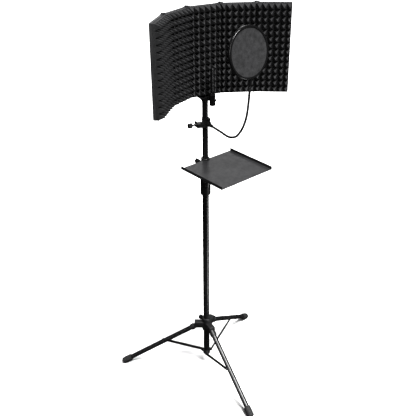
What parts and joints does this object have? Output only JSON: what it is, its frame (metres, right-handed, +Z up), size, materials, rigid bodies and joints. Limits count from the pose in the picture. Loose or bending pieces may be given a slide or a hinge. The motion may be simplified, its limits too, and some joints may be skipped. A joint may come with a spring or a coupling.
{
  "type": "microphone isolation shield",
  "caption": "Folding foam-lined microphone isolation shield on a telescoping tripod stand, with a clamp-on shelf, a gooseneck pop filter and a microphone mount.",
  "frame": {"origin": "middle of the whole object's bounding box, on the floor", "axes": "+Z up along the column; +X along the middle panel of the shield, to the right for someone facing its foam; -Y towards the singer"},
  "size_m": [0.6916, 0.6165, 1.6475],
  "materials": {
    "powder_coated_tube": "semi-gloss powder coat",
    "powder_coated_bracket": "satin powder coat",
    "cast_metal": "satin paint over castings",
    "shelf_steel": "satin powder coat",
    "moulded_plastic": "moulded, lightly textured",
    "knob_plastic": "semi-gloss",
    "foot_rubber": "matt",
    "black_fastener": "black oxide",
    "mount_metal": "satin black",
    "gooseneck_metal": "satin black",
    "hoop_plastic": "gloss",
    "popfilter_fabric": "fine knitted mesh",
    "panel_steel": "satin powder coat",
    "acoustic_foam": "open-cell foam, matt"
  },
  "bodies": {
    "column": {"lower_tube": "powder_coated_tube", "lower_tube_plug": "moulded_plastic", "brace_bracket": "powder_coated_bracket", "brace_rivets": "black_fastener", "clutch_body": "moulded_plastic", "clutch_bush": "moulded_plastic"},
    "clutch_grip": {"clutch_grip": "knob_plastic"},
    "hub": {"hub_collar": "moulded_plastic", "leg_pivot_rivets": "black_fastener"},
    "hub_lock_knob": {"hub_lock_knob": "knob_plastic"},
    "upper_tube": {"upper_tube": "powder_coated_tube", "upper_tube_guide": "moulded_plastic", "tube_top_stud": "black_fastener"},
    "shelf_liner": {"shelf_clamp_liner": "moulded_plastic"},
    "shelf": {"shelf_clamp": "powder_coated_bracket", "shelf_tray": "shelf_steel", "shelf_studs": "black_fastener"},
    "shelf_knob": {"shelf_clamp_knob": "knob_plastic"},
    "popfilter_liner": {"popfilter_clamp_liner": "moulded_plastic"},
    "popfilter_arm": {"popfilter_clamp": "powder_coated_bracket", "gooseneck": "gooseneck_metal", "gooseneck_ferrule": "gooseneck_metal"},
    "popfilter_knob": {"popfilter_clamp_knob": "knob_plastic"},
    "popfilter_ring": {"popfilter_hoop": "hoop_plastic", "popfilter_spacer": "hoop_plastic", "popfilter_mesh_front": "popfilter_fabric", "popfilter_mesh_rear": "popfilter_fabric"},
    "shield": {"shield_socket": "cast_metal", "shield_bracket": "powder_coated_bracket", "bracket_screws": "black_fastener", "panel_frame_3": "panel_steel", "panel_foam_3": "acoustic_foam", "hinge_pin_3": "black_fastener"},
    "mic_arm": {"mic_arm": "powder_coated_bracket", "mic_mount_bolt": "black_fastener"},
    "mic_mount": {"mic_mount_body": "mount_metal"},
    "panel_2": {"panel_frame_2": "panel_steel", "panel_foam_2": "acoustic_foam", "hinge_pin_2": "black_fastener"},
    "panel_1": {"panel_frame_1": "panel_steel", "panel_foam_1": "acoustic_foam", "hinge_pin_1": "black_fastener"},
    "panel_4": {"panel_frame_4": "panel_steel", "panel_foam_4": "acoustic_foam", "hinge_pin_4": "black_fastener"},
    "panel_5": {"panel_frame_5": "panel_steel", "panel_foam_5": "acoustic_foam"},
    "leg_left": {"leg_fitting_left": "moulded_plastic", "leg_tube_left": "powder_coated_tube", "foot_cap_left": "foot_rubber"},
    "brace_left": {"brace_left": "powder_coated_bracket"},
    "leg_front": {"leg_fitting_front": "moulded_plastic", "leg_tube_front": "powder_coated_tube", "foot_cap_front": "foot_rubber"},
    "brace_front": {"brace_front": "powder_coated_bracket"},
    "leg_rear": {"leg_fitting_rear": "moulded_plastic", "leg_tube_rear": "powder_coated_tube", "foot_cap_rear": "foot_rubber"},
    "brace_rear": {"brace_rear": "powder_coated_bracket"}
  },
  "joints": [
    {"name": "tripod_fold", "type": "slide", "parent": "column", "child": "hub", "axis": [0, 0, 1], "range_m": [0, 0.22419]},
    {"name": "leg_hinge_left", "type": "hinge", "parent": "hub", "child": "leg_left", "pos_m": [-0.0222, 0.10374, 0.23495], "axis": [-0.4633, -0.8862, 0], "range_deg": [0, 55.28]},
    {"name": "brace_hinge_left", "type": "hinge", "parent": "column", "child": "brace_left", "pos_m": [-0.00891, 0.09679, 0.07595], "axis": [-0.4633, -0.8862, 0], "range_deg": [-66.06, 0]},
    {"name": "leg_hinge_front", "type": "hinge", "parent": "hub", "child": "leg_front", "pos_m": [0.00935, 0.05402, 0.23495], "axis": [0.9991, 0.0419, 0], "range_deg": [0, 55.28]},
    {"name": "brace_hinge_front", "type": "hinge", "parent": "column", "child": "brace_front", "pos_m": [0.00872, 0.069, 0.07595], "axis": [0.9991, 0.0419, 0], "range_deg": [-66.06, 0]},
    {"name": "leg_hinge_rear", "type": "hinge", "parent": "hub", "child": "leg_rear", "pos_m": [0.03663, 0.10621, 0.23495], "axis": [-0.5358, 0.8443, 0], "range_deg": [0, 55.28]},
    {"name": "brace_hinge_rear", "type": "hinge", "parent": "column", "child": "brace_rear", "pos_m": [0.02397, 0.09817, 0.07595], "axis": [-0.5358, 0.8443, 0], "range_deg": [-66.06, 0]},
    {"name": "hub_knob_turn", "type": "hinge", "parent": "hub", "child": "hub_lock_knob", "pos_m": [0.00107, 0.12027, 0.24795], "axis": [-0.2079, 0.9781, 0], "range_deg": [0, 360]},
    {"name": "clutch_twist", "type": "hinge", "parent": "column", "child": "clutch_grip", "pos_m": [0.00793, 0.08799, 0.93395], "axis": [0, 0, 1], "range_deg": [0, 90]},
    {"name": "column_height", "type": "slide", "parent": "column", "child": "upper_tube", "axis": [0, 0, 1], "range_m": [-0.015, 0.4]},
    {"name": "shelf_height", "type": "slide", "parent": "upper_tube", "child": "shelf_liner", "axis": [0, 0, 1], "range_m": [-0.015, 0.06]},
    {"name": "shelf_swivel", "type": "hinge", "parent": "shelf_liner", "child": "shelf", "pos_m": [0.00793, 0.08799, 1.05645], "axis": [0, 0, 1], "range_deg": [-90, 90]},
    {"name": "shelf_knob_turn", "type": "hinge", "parent": "shelf", "child": "shelf_knob", "pos_m": [-0.00277, 0.12964, 1.02895], "axis": [-0.2487, 0.9686, 0], "range_deg": [0, 360]},
    {"name": "popfilter_height", "type": "slide", "parent": "upper_tube", "child": "popfilter_liner", "axis": [0, 0, 1], "range_m": [-0.08, 0.05]},
    {"name": "popfilter_swivel", "type": "hinge", "parent": "popfilter_liner", "child": "popfilter_arm", "pos_m": [0.00793, 0.08799, 1.20595], "axis": [0, 0, 1], "range_deg": [-20, 20]},
    {"name": "popfilter_knob_turn", "type": "hinge", "parent": "popfilter_arm", "child": "popfilter_knob", "pos_m": [-0.05607, 0.08799, 1.20595], "axis": [-1, 0, 0], "range_deg": [0, 360]},
    {"name": "ring_swivel", "type": "hinge", "parent": "popfilter_arm", "child": "popfilter_ring", "pos_m": [0.06699, -0.14205, 1.41395], "axis": [0, 0, 1], "range_deg": [-45, 45]},
    {"name": "shield_swivel", "type": "hinge", "parent": "upper_tube", "child": "shield", "pos_m": [0.00793, 0.08799, 1.30395], "axis": [0, 0, 1], "range_deg": [-15, 15]},
    {"name": "mic_arm_swivel", "type": "hinge", "parent": "shield", "child": "mic_arm", "pos_m": [0.00793, 0.08799, 1.30395], "axis": [0, 0, 1], "range_deg": [-29, 3]},
    {"name": "mic_tilt", "type": "hinge", "parent": "mic_arm", "child": "mic_mount", "pos_m": [0.0185, 0.04682, 1.31295], "axis": [0.2487, -0.9686, 0], "range_deg": [-25, 25]},
    {"name": "panel_hinge_inner_left", "type": "hinge", "parent": "shield", "child": "panel_2", "pos_m": [-0.05407, 0.10799, 1.31295], "axis": [0, 0, 1], "range_deg": [-53.4, 7]},
    {"name": "panel_hinge_outer_left", "type": "hinge", "parent": "panel_2", "child": "panel_1", "pos_m": [-0.17019, 0.04521, 1.31295], "axis": [0, 0, 1], "range_deg": [-46, 7]},
    {"name": "panel_hinge_inner_right", "type": "hinge", "parent": "shield", "child": "panel_4", "pos_m": [0.07793, 0.10799, 1.31295], "axis": [0, 0, 1], "range_deg": [-7, 46.25]},
    {"name": "panel_hinge_outer_right", "type": "hinge", "parent": "panel_4", "child": "panel_5", "pos_m": [0.20095, 0.06015, 1.31295], "axis": [0, 0, 1], "range_deg": [-7, 33.05]}
  ],
  "couplings": [
    {"joint": "leg_hinge_left", "follows": "tripod_fold", "rad_per_m": 4.3035},
    {"joint": "brace_hinge_left", "follows": "tripod_fold", "rad_per_m": -5.1432},
    {"joint": "leg_hinge_front", "follows": "tripod_fold", "rad_per_m": 4.3035},
    {"joint": "brace_hinge_front", "follows": "tripod_fold", "rad_per_m": -5.1432},
    {"joint": "leg_hinge_rear", "follows": "tripod_fold", "rad_per_m": 4.3035},
    {"joint": "brace_hinge_rear", "follows": "tripod_fold", "rad_per_m": -5.1432}
  ]
}
